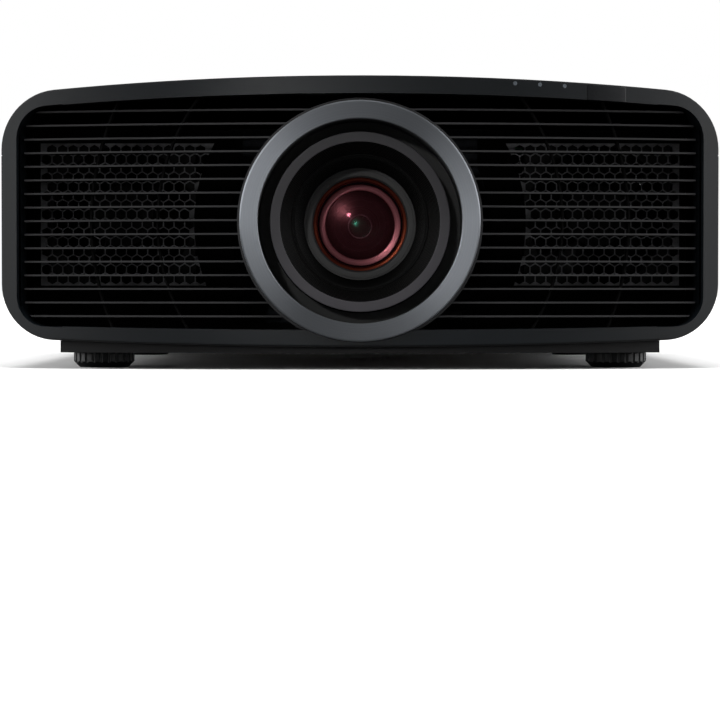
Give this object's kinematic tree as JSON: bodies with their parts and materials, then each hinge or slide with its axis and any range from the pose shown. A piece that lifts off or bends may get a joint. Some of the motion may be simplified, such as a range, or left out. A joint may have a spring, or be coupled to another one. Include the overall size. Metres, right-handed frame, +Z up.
{
  "type": "home projector",
  "caption": "Full-size home cinema projector with a central shifting lens in a silver ring, slatted air grilles front and rear, sockets behind and turning feet.",
  "frame": {"origin": "under the middle of the projector, on the surface that the feet stand on", "axes": "+X to the right seen from the front, +Y from the lens towards the sockets, +Z up; the lens looks along -Y"},
  "size_m": [0.45, 0.479, 0.181],
  "materials": {
    "cover_plastic": "fine moulded grain",
    "tray_plastic": "matt moulded",
    "bezel_plastic": "satin moulded",
    "grille_plastic": "satin moulded",
    "rear_plastic": "fine moulded grain",
    "fan_plastic": "satin moulded",
    "socket_plastic": "satin moulded",
    "button_plastic": "satin moulded",
    "foot_plastic": "satin moulded",
    "gear_plastic": "natural moulded",
    "dark_window": "glossy, passes infra-red",
    "light_pipe": "clear moulded",
    "black_sheet_steel": "black powder coat",
    "brushed_ring": "circular brushed, dark anodised",
    "lens_black": "matt black, ribbed",
    "black_aluminium": "black anodised",
    "cast_aluminium": "as cast",
    "cast_magnesium": "black painted casting",
    "plated_steel": "nickel plated",
    "circuit_board": "solder resist",
    "filter_foam": "open-cell, black",
    "lens_glass": "coated optical glass"
  },
  "bodies": {
    "body": {"top_cover": "cover_plastic", "bottom_cover": "cover_plastic", "base_tray": "tray_plastic", "chassis_plate": "cast_aluminium", "front_bezel": "bezel_plastic", "front_sensor_window": "dark_window", "indicator_lights": "light_pipe", "front_grille_right": "grille_plastic", "front_grille_left": "grille_plastic", "front_meshes": "black_sheet_steel", "fan_housings": "fan_plastic", "lens_trim_ring": "brushed_ring", "lens_shroud": "lens_black", "shift_base": "cast_aluminium", "rear_panel": "rear_plastic", "rear_louvre_left": "rear_plastic", "rear_louvre_right": "rear_plastic", "rear_meshes": "black_sheet_steel", "rear_filters": "filter_foam", "terminal_plate": "black_sheet_steel", "video_brackets": "plated_steel", "video_sockets": "socket_plastic", "lan_socket": "plated_steel", "service_socket": "plated_steel", "terminal_screws": "plated_steel", "mains_inlet": "socket_plastic", "inlet_blades": "plated_steel", "rear_sensor_window": "dark_window", "optical_block": "cast_magnesium", "light_source": "cast_aluminium", "heat_sink": "cast_aluminium", "power_supply": "plated_steel", "main_board": "circuit_board", "lift_rods": "plated_steel", "lift_motor": "plated_steel"},
    "lift_carriage": {"shift_carriage": "black_aluminium", "side_rods": "plated_steel", "side_motor": "plated_steel"},
    "lift_screw": {"lift_screw": "plated_steel"},
    "side_screw": {"side_screw": "plated_steel"},
    "lens": {"lens_sleeve": "black_aluminium", "lens_motors": "plated_steel"},
    "front_barrel": {"front_barrel": "lens_black", "lens_retainer": "lens_black", "front_element": "lens_glass"},
    "focus_ring": {"focus_ring": "gear_plastic"},
    "zoom_ring": {"zoom_ring": "gear_plastic"},
    "focus_pinion": {"focus_pinion": "gear_plastic"},
    "zoom_pinion": {"zoom_pinion": "gear_plastic"},
    "fan_rotor_right": {"fan_rotor_right": "fan_plastic"},
    "fan_rotor_left": {"fan_rotor_left": "fan_plastic"},
    "power_button": {"power_button": "button_plastic"},
    "foot_stud_front_left": {"foot_stud_front_left": "plated_steel"},
    "foot_knob_front_left": {"foot_knob_front_left": "foot_plastic"},
    "foot_stud_front_right": {"foot_stud_front_right": "plated_steel"},
    "foot_knob_front_right": {"foot_knob_front_right": "foot_plastic"},
    "foot_stud_rear_left": {"foot_stud_rear_left": "plated_steel"},
    "foot_knob_rear_left": {"foot_knob_rear_left": "foot_plastic"},
    "foot_stud_rear_right": {"foot_stud_rear_right": "plated_steel"},
    "foot_knob_rear_right": {"foot_knob_rear_right": "foot_plastic"}
  },
  "joints": [
    {"name": "lens_lift", "type": "slide", "parent": "body", "child": "lift_carriage", "axis": [0, 0, 1], "range_m": [-0.0055, 0.0055]},
    {"name": "lift_screw_turn", "type": "hinge", "parent": "body", "child": "lift_screw", "pos_m": [-0.094, -0.106, 0.0914], "axis": [0, 0, 1], "range_deg": [-1985, 1985]},
    {"name": "lens_side_shift", "type": "slide", "parent": "lift_carriage", "child": "lens", "axis": [1, 0, 0], "range_m": [-0.0035, 0.0035]},
    {"name": "side_screw_turn", "type": "hinge", "parent": "lift_carriage", "child": "side_screw", "pos_m": [0, -0.141, 0.0329], "axis": [1, 0, 0], "range_deg": [-1265, 1265]},
    {"name": "focus_turn", "type": "hinge", "parent": "lens", "child": "focus_ring", "pos_m": [0, -0.18, 0.0914], "axis": [0, 1, 0], "range_deg": [-0.5, 96.5]},
    {"name": "focus_slide", "type": "slide", "parent": "lens", "child": "front_barrel", "axis": [0, -1, 0], "range_m": [0, 0.004]},
    {"name": "focus_pinion_turn", "type": "hinge", "parent": "lens", "child": "focus_pinion", "pos_m": [0.0609, -0.18, 0.1198], "axis": [0, 1, 0], "range_deg": [-577, 1]},
    {"name": "zoom_turn", "type": "hinge", "parent": "lens", "child": "zoom_ring", "pos_m": [0, -0.161, 0.0914], "axis": [0, 1, 0], "range_deg": [0, 80]},
    {"name": "zoom_pinion_turn", "type": "hinge", "parent": "lens", "child": "zoom_pinion", "pos_m": [-0.0609, -0.161, 0.1198], "axis": [0, 1, 0], "range_deg": [-481, 1]},
    {"name": "fan_spin_right", "type": "hinge", "parent": "body", "child": "fan_rotor_right", "pos_m": [0.15, -0.173, 0.096], "axis": [0, 1, 0], "continuous": true},
    {"name": "fan_spin_left", "type": "hinge", "parent": "body", "child": "fan_rotor_left", "pos_m": [-0.15, -0.173, 0.096], "axis": [0, 1, 0], "continuous": true},
    {"name": "power_press", "type": "slide", "parent": "body", "child": "power_button", "axis": [0, -1, 0], "range_m": [0, 0.0012], "stiffness_N_per_m": 800},
    {"name": "foot_height_front_left", "type": "slide", "parent": "body", "child": "foot_stud_front_left", "axis": [0, 0, -1], "range_m": [0, 0.005]},
    {"name": "foot_turn_front_left", "type": "hinge", "parent": "foot_stud_front_left", "child": "foot_knob_front_left", "pos_m": [-0.164, -0.165, 0.005], "axis": [0, 0, 1], "range_deg": [-5, 1205]},
    {"name": "foot_height_front_right", "type": "slide", "parent": "body", "child": "foot_stud_front_right", "axis": [0, 0, -1], "range_m": [0, 0.005]},
    {"name": "foot_turn_front_right", "type": "hinge", "parent": "foot_stud_front_right", "child": "foot_knob_front_right", "pos_m": [0.164, -0.165, 0.005], "axis": [0, 0, 1], "range_deg": [-5, 1205]},
    {"name": "foot_height_rear_left", "type": "slide", "parent": "body", "child": "foot_stud_rear_left", "axis": [0, 0, -1], "range_m": [0, 0.005]},
    {"name": "foot_turn_rear_left", "type": "hinge", "parent": "foot_stud_rear_left", "child": "foot_knob_rear_left", "pos_m": [-0.164, 0.175, 0.005], "axis": [0, 0, 1], "range_deg": [-5, 1205]},
    {"name": "foot_height_rear_right", "type": "slide", "parent": "body", "child": "foot_stud_rear_right", "axis": [0, 0, -1], "range_m": [0, 0.005]},
    {"name": "foot_turn_rear_right", "type": "hinge", "parent": "foot_stud_rear_right", "child": "foot_knob_rear_right", "pos_m": [0.164, 0.175, 0.005], "axis": [0, 0, 1], "range_deg": [-5, 1205]}
  ],
  "couplings": [
    {"joint": "lift_screw_turn", "follows": "lens_lift", "rad_per_m": 6283.2},
    {"joint": "side_screw_turn", "follows": "lens_side_shift", "rad_per_m": 6283.2},
    {"joint": "focus_turn", "follows": "focus_slide", "rad_per_m": 418.88},
    {"joint": "focus_pinion_turn", "follows": "focus_slide", "rad_per_m": -2513.3},
    {"joint": "zoom_pinion_turn", "follows": "zoom_turn", "ratio": -6},
    {"joint": "foot_turn_front_left", "follows": "foot_height_front_left", "rad_per_m": 4188.8},
    {"joint": "foot_turn_front_right", "follows": "foot_height_front_right", "rad_per_m": 4188.8},
    {"joint": "foot_turn_rear_left", "follows": "foot_height_rear_left", "rad_per_m": 4188.8},
    {"joint": "foot_turn_rear_right", "follows": "foot_height_rear_right", "rad_per_m": 4188.8}
  ]
}
